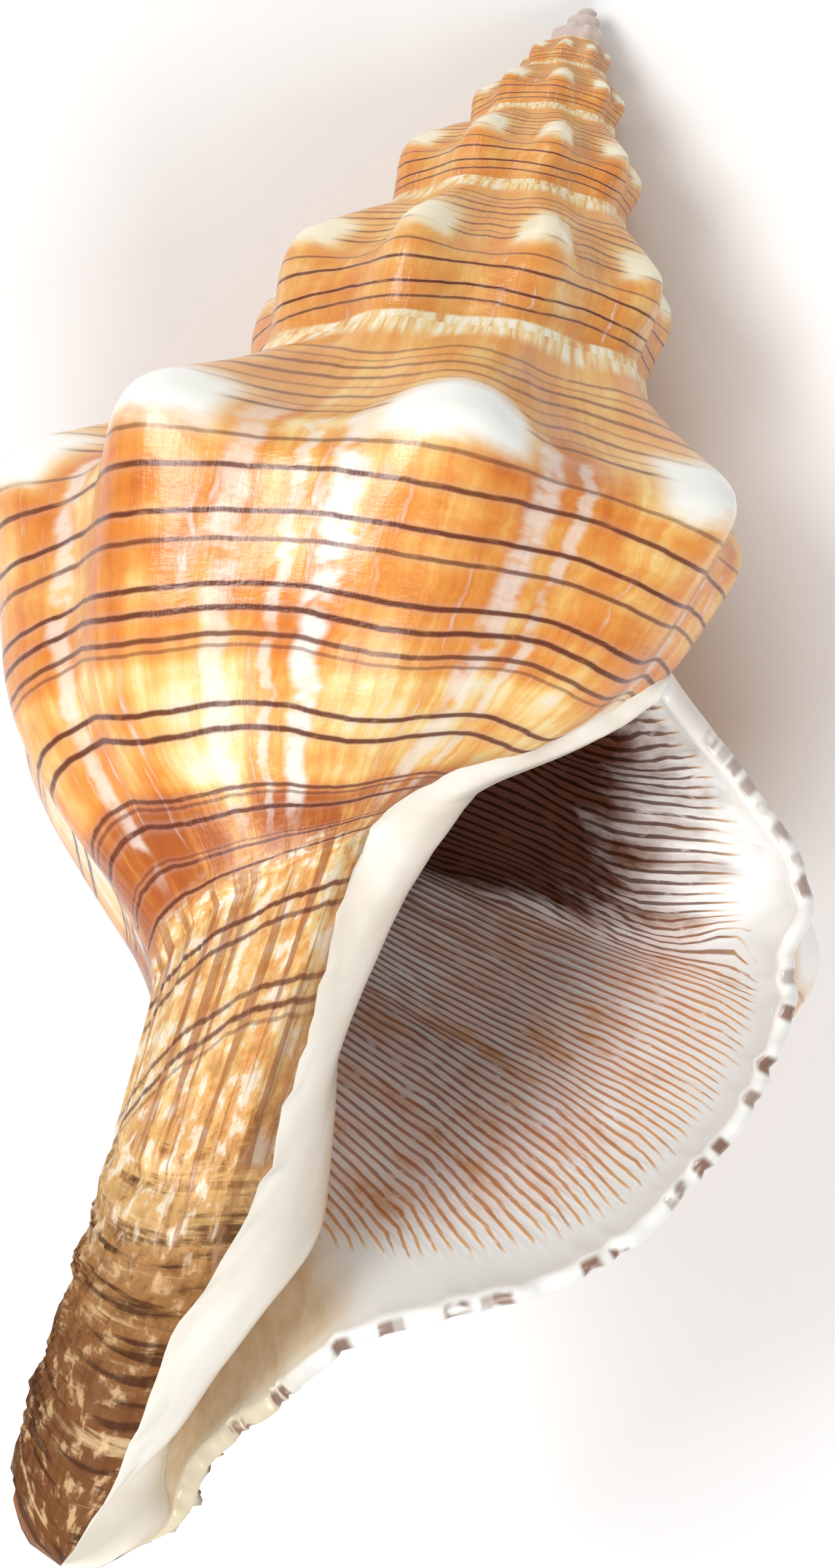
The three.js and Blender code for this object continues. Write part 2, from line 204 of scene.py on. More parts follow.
def band(turn, across, relief):
    """Radius and height of a whorl before growth: the ridge section, less the hollow's depth
    times one minus the knob's height."""
    ridge, hollow = curve(RIDGE, across), curve(HOLLOW, across)
    spire = curve(SPIRE_SHOULDER, np.minimum(across, SEAM))[..., 0] * (1 - ease((turn + 1.5) / 0.5))
    low = (1 - knob(turn, across) * relief) * ease((turn + 7) / 2)
    low = low * mix(1, curve(LIP_HOLLOW, across)[..., 0], ease(1 + turn / 0.08))
    waist = curve(WAIST, across)[..., 0] * ease((turn + 0.54) / 0.13) * ease(-turn / 0.25)
    return (ridge[..., 0] - spire - waist - hollow[..., 0] * low,
            ridge[..., 1] - hollow[..., 1] * low)


def rough(x, slowest, seed):
    """Uneven wave between about -1 and 1: the sum of six sines, each 1.62 times as fast as the one
    before and 0.75 times as high, with drawn phases; slowest is the first one's number per unit."""
    phases = np.random.default_rng(seed).uniform(0, TURN, 6)
    waves = sum(0.75 ** k * np.sin(TURN * slowest * 1.62 ** k * x + phases[k]) for k in range(6))
    return waves / 2.2


def growth_fold(turn, across):
    """Place across of the growth line through a point: on the canal they sweep down away from the
    mouth's back and flatten towards the inner lip, along a parabola."""
    sweep = 1 - (1 - np.clip((-turn - 0.5) / 0.25, 0, 1)) ** 2
    return across - 0.11 * sweep * ease((across - 1.45) / 0.2)


def detail(turn, across):
    """Height of the small relief before growth, in millimetres: a wavy bead along the seams, faint
    ribs of growth down the whorls and strong ones round the neck and canal."""
    beads = SEAM_BEAD * (1 + 0.3 * rough(turn, 7, 3)) * np.exp(-(across / 0.03) ** 2) * ease(-turn / 0.03)
    after = turn + 1
    under = np.exp(-((across - SEAM) / 0.03) ** 2) * ease(-after / 0.03) * (after < 0)
    beads = beads + GROW_RADIUS * SEAM_BEAD * (1 + 0.3 * rough(after, 7, 3)) * under
    ribs = 0.16 * rough(turn + 0.02 * np.sin(5 * across), 14, 5) * ease((across - 0.05) / 0.1)
    on_neck = ease((across - 1.25) / 0.2) * ease((1.75 - across) / 0.2)
    neck = 0.3 * rough(turn + 0.05 * across, 22, 6) * on_neck
    fold = growth_fold(turn, across)
    lumps = rough(fold, 14, 7) + 0.7 * rough(fold, 9, 8) * rough(turn, 12, 9)
    canal = 0.62 * lumps * ease((across - 1.52) / 0.15) * ease((1.99 - across) / 0.06)
    return beads + (ribs + neck + canal) * ease(-turn / 0.02)


def lip_wave(turn, across):
    """How far the outer lip dips, in millimetres, where the dark lines end in it: a bell round each
    line's place, fading within a hundredth of a turn of the lip."""
    near = np.exp(-(turn / 0.012) ** 2)
    ends = line_place(np.zeros_like(across), across, 0.0)[..., None] - np.array(SPIRAL_LINES)[:, 0]
    dips = np.max(np.exp(-(ends / 0.011) ** 2) * np.array(SPIRAL_LINES)[:, 2], axis=-1)
    return LIP_NOTCH * near * (dips - 0.35) * ease(across / 0.1) * ease((1.75 - across) / 0.2)


def polar(radius, angle, height):
    """Points from radius, angle about the axis and height."""
    return np.stack([radius * np.cos(angle), radius * np.sin(angle), height], -1)


def outside(turn, across, relief=1.0, wavy_lip=True):
    """The outer surface: the section scaled by the growth to the power of the turn, laid on the
    seam line of the whorl before it, and drawn out into the canal below the neck."""
    turn, across = np.broadcast_arrays(np.asarray(turn, float), np.asarray(across, float))
    place = np.minimum(across, NECK)
    radius, height = band(turn, place, relief)
    fade = 1 - ease(place / 0.12)
    laid = band(turn - 1, np.full_like(turn, SEAM), 1.0)
    own = band(turn, np.zeros_like(turn), relief)
    radius = (radius + (laid[0] / GROW_RADIUS - own[0]) * fade) * GROW_RADIUS ** turn
    height = (height + (laid[1] / GROW_HEIGHT - own[1]) * fade) * GROW_HEIGHT ** turn
    along = np.clip((across - NECK) / (FOOT - NECK), 0, 1)
    flare = curve(CANAL_FLARE, along)[..., 0] * ease((turn + 0.35) / 0.35)
    rounded = np.sqrt(np.maximum(1 - np.maximum((along - 0.7) / 0.3, 0) ** 2, 0))
    settle = 1 - (1 - np.clip(along / 0.35, 0, 1)) ** 2
    radius = mix(radius, CANAL_RADIUS + flare, settle) * rounded
    fine = relief * detail(turn, across)
    near_lip = np.abs(turn) < 0.04
    if wavy_lip and near_lip.any():
        fine = fine - np.where(near_lip, lip_wave(turn, across), 0.0)
    radius = radius + fine * GROW_RADIUS ** turn * rounded
    lift = ease(along / 0.7) * (1 - ease((along - 0.93) / 0.07)) * ease(1 + turn / 0.25)
    height = mix(height, FOOT_Z, along) + LIP_LIFT * lift
    return polar(radius, LIP_ANGLE - TURN * turn, height)


def inwards(turn, across):
    """Direction into the shell: the cross product of the surface's slopes across and along."""
    d = 0.004
    place = np.clip(across, d, FOOT - 0.08)
    along = outside(turn + d, place, 0.0, False) - outside(turn - d, place, 0.0, False)
    down = outside(turn, place + d, 0.0, False) - outside(turn, place - d, 0.0, False)
    normal = np.cross(down, along)
    return normal / np.linalg.norm(normal, axis=-1, keepdims=True)


def thread_place(behind, across):
    """Place of a point of the mouth's wall among its threads: they rise behind the lip, most at
    mid height, and level out deeper in."""
    rise = curve(THREAD_RISE, across)[..., 0]
    shoulder = np.exp(-((across - 0.36) / 0.09) ** 2)
    wavy = 0.006 * rough(behind + 0.3 * across, 5, 11) + 0.02 * shoulder * np.sin(TURN * behind / 0.13)
    return across + rise * (1 - np.exp(-behind / 0.045)) + 0.1 * behind + wavy * ease(behind / 0.04)


def thread_reach(behind, across):
    """How far, in turns, a point lies behind the place where its thread begins."""
    return behind - curve(THREAD_START, across)[..., 0] - 0.006 * rough(across, 30, 12)


def threads_of(behind, across):
    """Height of the threads, 0 to 1: the upper half of a cosine across them."""
    wave = np.maximum(np.cos(TURN * thread_place(behind, across) / THREAD_STEP), 0)
    return wave * ease(thread_reach(behind, across) / 0.02)


def inner_wall(behind, beyond, across, thickness):
    """Inside of the outer wall: the outer surface moved in by the wall's thickness, and down the
    earlier whorl in the corner above."""
    foot = 1 - ease((across - 1.8) / 0.2)
    angle = LIP_ANGLE + TURN * behind
    corner = polar(-0.15, angle, -1.35)
    into = inwards(np.full_like(across, -behind), across)
    into = mix(into, corner, (1 - ease(across / 0.2))[..., None])
    return outside(beyond - behind, across, 0.0) + into * (thickness * foot)[..., None]


def lip_begin(across):
    """The turn where the inner lip begins, with its uneven edge."""
    return curve(INNER_LIP, across)[..., 0] + 0.006 * rough(across, 7, 41) * ease((across - 0.85) / 0.2)


def inner_side(behind, share, across, bottom):
    """Inner side of the mouth: the earlier whorl under the inner lip down to the neck, then the
    pillar, whose radius follows its table, down to the floor of the groove."""
    begin = lip_begin(across)
    turn = (np.full_like(across, -1 - behind) if behind > GROOVE_TURN
            else mix(begin, -1 - GROOVE_TURN, share))
    relief = 1 - ease(share / 0.15)
    neck = np.minimum(across, NECK)
    point = outside(turn, neck, relief) - inwards(turn, neck) * INNER_LIP_RISE * ease(share / 0.1)
    along = np.clip((across - NECK) / (FOOT - NECK), 0, 1)
    canal = outside(begin, across, relief)
    pillar = curve(PILLAR, along)[..., 0] * GROW_RADIUS ** -max(behind - 0.11, 0)
    radius = mix(np.hypot(canal[..., 0], canal[..., 1]), pillar, ease(share / 0.5))
    round_it = polar(radius, LIP_ANGLE - TURN * turn, mix(point[..., 2], bottom, along))
    settle = ease(along / 0.12)[..., None]
    flat = mix(point[..., :2], round_it[..., :2], settle)
    height = np.where(across > NECK, round_it[..., 2], point[..., 2])
    return np.concatenate([flat, height[..., None]], -1)


def smooth_side(behind, share, across, bottom):
    """The inner side with its corner at the neck rounded: behind the edge, each point near the neck
    is the mean of five places a little above and below it."""
    shifts = np.array([-0.16, -0.08, 0.0, 0.08, 0.16])
    near = ease(1 - np.abs(across - NECK) / 0.35) * float(ease(share / 0.12))
    sides = [inner_side(behind, share, across + shift * near, bottom) for shift in shifts]
    return sum(sides) / len(shifts)


class Surface:
    """Points and faces of the closed surface, with each face corner's place on the shell:
    turn (or share of the inner side), across, and zone."""

    def __init__(self):
        self.points, self.count = [], 0
        self.faces = []

    def add(self, points):
        """Adds an array of points and returns their numbers in the same shape."""
        flat = np.reshape(points, (-1, 3))
        self.points.append(flat)
        numbers = self.count + np.arange(len(flat))
        self.count += len(flat)
        return numbers.reshape(np.shape(points)[:-1])

    def polygons(self, corners, places):
        """Faces of equal size; one with a repeated corner becomes a triangle."""
        corners, places = np.asarray(corners), np.asarray(places, float)
        if corners.shape[1] != 4:
            self.faces.append((corners, places))
            return
        same = corners == np.roll(corners, -1, axis=1)
        plain = ~same.any(axis=1)
        self.faces.append((corners[plain], places[plain]))
        for k in range(4):
            thin = same[:, k] & (same.sum(axis=1) == 1)
            keep = [i for i in range(4) if i != k]
            self.faces.append((corners[thin][:, keep], places[thin][:, keep]))

    def strip(self, first, second, first_places, second_places):
        """Quads between two rows of points with as many members each."""
        corners = np.stack([first[:-1], second[:-1], second[1:], first[1:]], 1)
        places = np.stack([first_places[:-1], second_places[:-1], second_places[1:],
                           first_places[1:]], 1)
        self.polygons(corners, places)

    def grid(self, numbers, places):
        """Quads of a whole grid, columns first."""
        a, b, c, d = numbers[:-1, :-1], numbers[1:, :-1], numbers[1:, 1:], numbers[:-1, 1:]
        pa, pb, pc, pd = places[:-1, :-1], places[1:, :-1], places[1:, 1:], places[:-1, 1:]
        self.polygons(np.stack([a, b, c, d], -1).reshape(-1, 4),
                      np.stack([pa, pb, pc, pd], -2).reshape(-1, 4, 3))


def place_of(turn, across, zone):
    """Stacks turn, across and zone into one array of places."""
    turn, across, zone = np.broadcast_arrays(*(np.asarray(x, float) for x in (turn, across, zone)))
    return np.stack([turn, across, zone], -1)


def wind_whorls(surface):
    """The wound band from the apex to the lip. Each whorl's top row is the bottom row of the
    whorl before; where a whorl has twice as many columns, the points between are taken into
    that bottom row's faces. Returns the last whorl's point numbers."""
    apex = surface.add(np.array([0.0, 0.0, -0.8]))
    across = SEAM * np.arange(WHORL_ROWS + 1) / WHORL_ROWS
    above = None
    for k in range(len(WHORL_COLUMNS) - 1, -1, -1):
        columns = WHORL_COLUMNS[k]
        turn = -k - 1 + np.arange(columns + 1) / columns
        points = outside(turn[:, None], across[None, :])
        numbers = np.empty((columns + 1, WHORL_ROWS + 1), int)
        numbers[1:, 1:] = surface.add(points[1:, 1:])
        if above is None:
            numbers[0, 1:] = surface.add(points[0, 1:])
            numbers[:, 0] = apex
            numbers[-1, 0] = numbers[0, -1]
            cap = np.stack([np.full(WHORL_ROWS - 1, apex), numbers[0, 1:-1], numbers[0, 2:]], 1)
            surface.polygons(cap, np.broadcast_to(place_of(turn[0], 0.4, OUTSIDE_ZONE), cap.shape + (3,)))
        else:
            numbers[0] = above[-1]
            numbers[0, 0] = above[0, -1]
            ratio = columns // (len(above) - 1)
            numbers[::ratio, 0] = above[:, -1]
            if ratio == 2:
                numbers[1::2, 0] = surface.add(points[1::2, 0])
            last = above[:, -2:]
            corners = [last[:-1, 0], last[1:, 0]]
            corners += [numbers[ratio - j::ratio, 0][:len(last) - 1] for j in range(ratio + 1)]
            row = across[-2]
            turns = [turn[:-1:ratio] - 1, turn[ratio::ratio] - 1]
            turns += [turn[ratio - j::ratio][:len(last) - 1] - 1 for j in range(ratio + 1)]
            rows = [row, row] + [SEAM] * (ratio + 1)
            places = np.stack([place_of(t, r, OUTSIDE_ZONE) for t, r in zip(turns, rows)], 1)
            surface.polygons(np.stack(corners, 1), places)
        if k:
            surface.grid(numbers[:, :-1], place_of(turn[:, None], across[None, :-1], OUTSIDE_ZONE))
        else:
            surface.grid(numbers, place_of(turn[:, None], across[None, :], OUTSIDE_ZONE))
        above = numbers
    return numbers


def wind_base(surface, seam):
    """Base of the last whorl and outside of the canal, from the inner lip round to the outer:
    the turn runs from the inner lip's beginning to 0 in equal steps."""
    columns = WHORL_COLUMNS[0]
    across = mix(SEAM, FOOT, np.arange(FOOT_ROWS + 1) / FOOT_ROWS)
    begin = lip_begin(across)
    turn = begin[None, :] * (1 - np.arange(columns + 1) / columns)[:, None]
    numbers = np.empty((columns + 1, FOOT_ROWS + 1), int)
    numbers[:, 0] = seam
    numbers[:, 1:-1] = surface.add(outside(turn[:, 1:-1], across[None, 1:-1]))
    numbers[:, -1] = surface.add(outside(-0.5, FOOT))
    surface.grid(numbers, place_of(turn, across[None, :], OUTSIDE_ZONE))
    return numbers


def mouth_ring(behind, edge, threads):
    """Points and places of one ring of the hollow: down the outer wall, over the floor of the
    groove, up the inner side. The edge of the lip is half a circle."""
    share = float(np.clip((behind + EDGE_TURN * edge) / (GROOVE_TURN + EDGE_TURN), 0, 1))
    thickness = (LIP_EDGE * (1 - math.cos(math.pi * edge)) / 2
                 + (LIP_WALL - LIP_EDGE) * float(ease(behind / 0.1))) * GROW_RADIUS ** (-0.6 * behind)
    rows = fine_rows(section_rows()) if threads else section_rows()
    lowest = mix(FOOT, NECK, share)
    past = (rows - THREADS_END) / (FOOT - THREADS_END)
    across = np.where(past > 0, mix(THREADS_END, lowest, past), rows)
    scale = GROW_RADIUS ** (-0.6 * behind)
    thick = thickness + THREAD_HEIGHT * scale * threads_of(behind, across) * (across < 1.38)
    scallops = 1 + 0.6 * rough(across, 13, 31) * ease(across / 0.08)
    bulge = LIP_BULGE * math.sin(math.pi * edge) * scallops
    wall = inner_wall(behind, bulge, across, thick)
    bottom = wall[-1]
    up = np.arange(FOOT_ROWS, 0, -1) / FOOT_ROWS
    side_across = mix(SEAM, FOOT, up)
    side = smooth_side(behind, share, side_across, bottom[2])
    corner = wall[0] - inner_side(behind, share, np.array([SEAM]), bottom[2])[0]
    side = side + corner * (1 - ease(up / 0.1))[:, None]
    steps = (np.arange(1, FLOOR_ROWS + 1) / (FLOOR_ROWS + 1))[:, None]
    floor = mix(bottom, side[0], steps)
    deep = share + behind
    places = (place_of(-behind, across, edge), place_of(deep, np.full(FLOOR_ROWS, FOOT), INNER_ZONE),
              place_of(deep, side_across, INNER_ZONE))
    return (wall, floor, side), places


def section_rows():
    """Places across from the seam to the foot: one for each row of the whorl and of the base."""
    return np.concatenate([SEAM * np.arange(WHORL_ROWS) / WHORL_ROWS,
                           mix(SEAM, FOOT, np.arange(FOOT_ROWS + 1) / FOOT_ROWS)])


def fine_rows(rows):
    """Rows of the mouth's wall: each row above the neck is split for the threads."""
    whole = rows[:-1][:, None] + np.diff(rows)[:, None] * np.arange(THREAD_ROWS) / THREAD_ROWS
    above = rows[:-1] < THREADS_END
    return np.concatenate([whole[above].ravel(), rows[:-1][~above], rows[-1:]])


def hollow_mouth(surface, whorl, base):
    """The hollow behind the mouth: rings from the two lips inwards, closed by a flat end."""
    wall = np.concatenate([whorl[-1], base[-1, 1:]])
    foot = base[-1, -1]
    rest = np.concatenate([np.full(FLOOR_ROWS + 1, foot), base[0, -2:0:-1]])
    coarse = section_rows()
    side_across = mix(SEAM, FOOT, np.arange(FOOT_ROWS, 0, -1) / FOOT_ROWS)
    wall_places = place_of(0.0, coarse, OUTSIDE_ZONE)
    rest_places = place_of(0.0, np.concatenate([np.full(FLOOR_ROWS, FOOT), side_across]), INNER_ZONE)
    steps = [(0.0, (k + 1) / EDGE_STEPS, False) for k in range(EDGE_STEPS)]
    steps += [(MOUTH_DEPTH * ((k + 1) / MOUTH_STEPS) ** 1.4, 1.0, True) for k in range(MOUTH_STEPS)]
    threads = False
    for behind, edge, fine in steps:
        parts, places = mouth_ring(behind, edge, fine)
        next_wall = surface.add(parts[0])
        next_rest = surface.add(np.concatenate(parts[1:]))
        next_places = np.concatenate(places[1:])
        if fine and not threads:
            split_strip(surface, wall, next_wall, wall_places, places[0], coarse)
        else:
            surface.strip(wall, next_wall, wall_places, places[0])
        ring = np.concatenate([wall[-1:], rest, wall[:1]])
        next_ring = np.concatenate([next_wall[-1:], next_rest, next_wall[:1]])
        surface.strip(ring, next_ring, closed_places(rest_places), closed_places(next_places))
        wall, rest, wall_places, rest_places = next_wall, next_rest, places[0], next_places
        threads = fine
    end = np.concatenate([wall, rest])[::-1][None, :]
    surface.polygons(end, np.broadcast_to(place_of(2.0, 1.0, INNER_ZONE), end.shape + (3,)))


def closed_places(places):
    """A ring's places with those of its two end points, which the ring shares with the wall."""
    deep = places[0, 0]
    return np.concatenate([place_of([deep], [FOOT], [INNER_ZONE]), places,
                           place_of([deep], [SEAM], [INNER_ZONE])])


def split_strip(surface, wall, fine_wall, wall_places, fine_places, coarse):
    """Faces from a row of the lip to the finer row behind it: one coarse side each, with all the
    fine points that lie between its two ends."""
    above = int((coarse[:-1] < THREADS_END).sum())
    k = THREAD_ROWS
    starts = np.arange(above) * k
    corners = np.stack([wall[:above]] + [fine_wall[starts + j] for j in range(k + 1)]
                       + [wall[1:above + 1]], 1)
    places = np.stack([wall_places[:above]] + [fine_places[starts + j] for j in range(k + 1)]
                      + [wall_places[1:above + 1]], 1)
    surface.polygons(corners, places)
    surface.strip(wall[above:], fine_wall[above * k:], wall_places[above:], fine_places[above * k:])


def lay_down(points):
    """The axis' slight lean, then the turn into the lying position; the shell's box stands on the
    floor, centred like the frame's box. Returns the points in metres and the same movement as a
    matrix for whatever stays with the shell."""
    points = points.copy()
    points[:, 0] += curve(CANAL_SWAY, np.clip(points[:, 2], FOOT_Z, 0))[:, 0]
    turned = rest_turn()
    rotated = points @ np.array(turned.to_3x3()).T * MM
    low, high = rotated.min(axis=0), rotated.max(axis=0)
    centre = [(cad_box[0][i] + cad_box[1][i]) / 2 for i in range(2)]
    shift = np.array([centre[0] - (low[0] + high[0]) / 2, centre[1] - (low[1] + high[1]) / 2, -low[2]])
    return rotated + shift, Matrix.Translation(shift) @ turned


def rest_turn():
    """The turn from the shell's own axes to how it lies."""
    return (Matrix.Rotation(math.radians(REST_YAW), 4, "Z")
            @ Matrix.Rotation(math.radians(REST_ROLL), 4, "Y")
            @ Matrix.Rotation(math.radians(REST_PITCH - 90), 4, "X"))


def line_place(turn, across, height):
    """Place of a point among the dark lines: the place across, less what the lines sag on the
    knobs and how far they run down or up on their way round the visible half turn."""
    lean = ease((-turn - 0.5) / 0.25) * ease((turn + 1.3) / 0.3)
    sag = curve(LINE_SAG, across)[..., 0] * (height - 0.5)
    return across - curve(LINE_DRIFT, across)[..., 0] * lean - sag + 0.003 * rough(turn, 9, 21)


def pattern_of(places):
    """What the paints read at each face corner. Outside: the place among the lines, the knob's
    height and the growth fold. On the mouth's wall: the thread's phase, the reach behind the
    thread's beginning and how deep it lies in the painted shade. Both blend over the lip's edge."""
    turn, across, zone = places.T
    height = knob(turn, np.full_like(turn, 0.9))
    out = np.stack([line_place(turn, across, height), height, growth_fold(turn, across)], 1)
    behind = -turn
    # depth in the painted shade that darkens the mouth's wall inwards
    dark = (behind - curve(SHADE_START, across)[..., 0]) / SHADE_OVER
    wall = np.stack([thread_place(behind, across) / THREAD_STEP, thread_reach(behind, across), dark], 1)
    return np.where(np.isclose(zone, WALL_ZONE)[:, None], wall, out)


def make_mesh(name, points, faces):
    """A mesh object at the origin from points in metres and groups of equal-sided faces; each
    corner keeps its place on the shell."""
    mesh = bpy.data.meshes.new(name)
    sizes = np.concatenate([np.full(len(c), c.shape[1]) for c, _ in faces])
    loops = np.concatenate([c.ravel() for c, _ in faces])
    places = np.concatenate([p.reshape(-1, 3) for _, p in faces])
    mesh.vertices.add(len(points))
    mesh.vertices.foreach_set("co", points.astype(np.float32).ravel())
    mesh.loops.add(len(loops))
    mesh.loops.foreach_set("vertex_index", loops.astype(np.int32))
    mesh.polygons.add(len(sizes))
    starts = np.concatenate([[0], np.cumsum(sizes)[:-1]]).astype(np.int32)
    mesh.polygons.foreach_set("loop_start", starts)
    mesh.update(calc_edges=True)
    mesh.polygons.foreach_set("use_smooth", np.ones(len(sizes), bool))
    for label, values in (("place", places), ("pattern", pattern_of(places))):
        attribute = mesh.attributes.new(label, "FLOAT_VECTOR", "CORNER")
        attribute.data.foreach_set("vector", values.astype(np.float32).ravel())
    mesh.validate()
    piece = bpy.data.objects.new(name, mesh)
    bpy.context.scene.collection.objects.link(piece)
    return piece


def build_shell():
    """The whole shell as one piece; also returns the movement from its own axes."""
    surface = Surface()
    whorl = wind_whorls(surface)
    base = wind_base(surface, whorl[:, -1])
    hollow_mouth(surface, whorl, base)
    points, placed = lay_down(np.concatenate(surface.points))
    return make_mesh("conch_shell", points, surface.faces), placed


def place_camera(placed):
    """Camera in front of the mouth, a little towards the foot, in the shell's own axes."""
    about_z = Matrix.Rotation(CAMERA_ROLL, 3, "Z")
    about_x = Matrix.Rotation(CAMERA_TILT, 3, "X")
    level = Matrix(((1, 0, 0), (0, 0, -1), (0, 1, 0)))
    looks = about_z @ about_x @ level
    position = looks.transposed() @ (-Vector(CAMERA_AWAY))
    facing = looks.transposed() @ Matrix(((1, 0, 0), (0, -1, 0), (0, 0, -1)))
    camera = bpy.data.cameras.new("camera")
    camera.lens, camera.sensor_width = CAMERA_LENS, CAMERA_SENSOR
    camera.clip_start, camera.clip_end = 0.01, 20.0
    holder = bpy.data.objects.new("camera", camera)
    bpy.context.scene.collection.objects.link(holder)
    holder.matrix_world = placed @ (Matrix.Translation(position * MM) @ facing.to_4x4())
    bpy.context.scene.camera = holder


def lay_floor():
    """Plain pale floor at height 0."""
    bpy.ops.mesh.primitive_plane_add(size=FLOOR_SIZE, location=(0, 0, 0))
    floor = bpy.context.object
    floor.name = "floor"
    paint = bpy.data.materials.new("pale_floor")
    paint.use_nodes = True
    shader = paint.node_tree.nodes["Principled BSDF"]
    shader.inputs["Base Color"].default_value = (FLOOR_GREY, FLOOR_GREY, FLOOR_GREY, 1)
    shader.inputs["Roughness"].default_value = 0.6
    floor.data.materials.append(paint)


def light_room():
    """An even white surrounding and two large soft lamps that face the shell."""
    world = bpy.data.worlds.new("room")
    world.use_nodes = True
    world.node_tree.nodes["Background"].inputs["Color"].default_value = (1, 1, 1, 1)
    world.node_tree.nodes["Background"].inputs["Strength"].default_value = ROOM_LIGHT
    bpy.context.scene.world = world
    bpy.context.scene.view_settings.view_transform = "Standard"
    for name, place, size, power in LAMPS:
        lamp = bpy.data.lights.new(name, "AREA")
        lamp.size, lamp.energy = size, power
        holder = bpy.data.objects.new(name, lamp)
        holder.location = place
        to_shell = Vector((0, 0, 0.03)) - Vector(place)
        holder.rotation_euler = to_shell.to_track_quat("-Z", "Y").to_euler()
        bpy.context.scene.collection.objects.link(holder)


def tint(red, green, blue):
    """A colour from its display values out of 255, as the linear values that shaders take."""
    shown = np.array([red, green, blue]) / 255
    linear = np.where(shown > 0.04045, ((shown + 0.055) / 1.055) ** 2.4, shown / 12.92)
    return tuple(float(c) for c in linear)


class Paint:
    """A material's node tree; each call adds a node and returns its socket."""

    def __init__(self, name):
        self.material = bpy.data.materials.new(name)
        self.material.use_nodes = True
        self.tree = self.material.node_tree
        self.shader = self.tree.nodes["Principled BSDF"]

    def put(self, socket, value):
        """Links a socket into another, or sets its value; a colour may come as three numbers."""
        if isinstance(value, bpy.types.NodeSocket):
            self.tree.links.new(value, socket)
        elif socket.type == "RGBA":
            socket.default_value = (*value, 1.0)
        else:
            socket.default_value = value

    def read(self, name):
        """The three numbers of one of the mesh's attributes."""
        node = self.tree.nodes.new("ShaderNodeAttribute")
        node.attribute_name = name
        parts = self.tree.nodes.new("ShaderNodeSeparateXYZ")
        self.put(parts.inputs[0], node.outputs["Vector"])
        return tuple(parts.outputs)

    def math(self, operation, a, b=0.0):
        node = self.tree.nodes.new("ShaderNodeMath")
        node.operation = operation
        self.put(node.inputs[0], a)
        self.put(node.inputs[1], b)
        return node.outputs[0]

    def times(self, *factors):
        """Product of all the factors."""
        value = factors[0]
        for factor in factors[1:]:
            value = self.math("MULTIPLY", value, factor)
        return value

    def plus(self, *terms):
        """Sum of all the terms."""
        value = terms[0]
        for term in terms[1:]:
            value = self.math("ADD", value, term)
        return value

    def less(self, a, b):
        """a less b."""
        return self.math("SUBTRACT", a, b)

    def around(self, noise, width):
        """Noise moved to lie round 0 and scaled to a width."""
        return self.times(self.plus(noise, -0.5), width)

    def step(self, x, begin, end, high=1.0):
        """Smooth step from 0 at begin to high at end."""
        node = self.tree.nodes.new("ShaderNodeMapRange")
        node.interpolation_type = "SMOOTHSTEP"
        for slot, value in zip(node.inputs[:5], (x, begin, end, 0.0, high)):
            self.put(slot, value)
        return node.outputs[0]

    def bump_between(self, x, low, high, soft):
        """1 between low and high, falling to 0 over soft on either side."""
        return self.times(self.step(x, low - soft, low), self.step(x, high + soft, high))

    def grain(self, x, y, z=0.0, detail=3.0, roughness=0.55, distortion=0.0):
        """Noise between 0 and 1 at a point given by its three scaled places."""
        joined = self.tree.nodes.new("ShaderNodeCombineXYZ")
        for slot, value in zip(joined.inputs, (x, y, z)):
            self.put(slot, value)
        node = self.tree.nodes.new("ShaderNodeTexNoise")
        self.put(node.inputs["Vector"], joined.outputs[0])
        for label, value in (("Scale", 1.0), ("Detail", detail), ("Roughness", roughness),
                             ("Distortion", distortion)):
            self.put(node.inputs[label], value)
        return node.outputs["Fac"]

    def blend(self, share, first, second):
        """The colour the share of the way from the first to the second."""
        node = self.tree.nodes.new("ShaderNodeMix")
        node.data_type = "RGBA"
        node.clamp_factor = True
        self.put(node.inputs[0], share)
        self.put(node.inputs[6], first)
        self.put(node.inputs[7], second)
        return node.outputs[2]

    def ramp(self, x, stops):
        """Colour by place through rows of (place, colour)."""
        node = self.tree.nodes.new("ShaderNodeValToRGB")
        points = node.color_ramp.elements
        while len(points) < len(stops):
            points.new(1.0)
        for point, (place, colour) in zip(points, stops):
            point.position = place
            point.color = (*colour, 1.0)
        self.put(node.inputs[0], x)
        return node.outputs[0]

    def lines(self, x, table):
        """Ink and halo of many lines: the greatest of their masks, the halo's 2.4 times as wide.
        Table rows: centre, half width, ink."""
        ink = halo = 0.0
        for centre, half, strength in table:
            off = self.math("ABSOLUTE", self.less(x, centre))
            ink = self.math("MAXIMUM", ink, self.step(off, half, half * 0.35, strength))
            halo = self.math("MAXIMUM", halo, self.step(off, half * 2.4, half, strength))
        return ink, halo


# dark lines round the whorl: place across, half width, ink
SPIRAL_LINES = [
    (0.085, 0.006, 0.55), (0.112, 0.005, 0.4), (0.137, 0.007, 0.65), (0.175, 0.008, 0.65),
    (0.212, 0.006, 0.4), (0.25, 0.008, 0.65), (0.29, 0.006, 0.4), (0.325, 0.009, 0.75),
    (0.438, 0.008, 0.6), (0.513, 0.009, 0.9),
    (0.613, 0.009, 0.95), (0.678, 0.009, 0.8), (0.783, 0.008, 0.95), (0.828, 0.008, 0.95),
    (0.873, 0.007, 0.85), (0.893, 0.005, 0.55), (0.993, 0.007, 0.95), (1.033, 0.0075, 0.95),
    (1.135, 0.006, 0.85), (1.149, 0.005, 0.6), (1.18, 0.007, 0.95), (1.243, 0.004, 0.5),
    (1.256, 0.006, 0.85), (1.315, 0.007, 0.9), (1.435, 0.006, 0.9), (1.462, 0.006, 0.8),
    (1.558, 0.006, 0.8), (1.585, 0.006, 0.85), (1.6, 0.004, 0.5)]
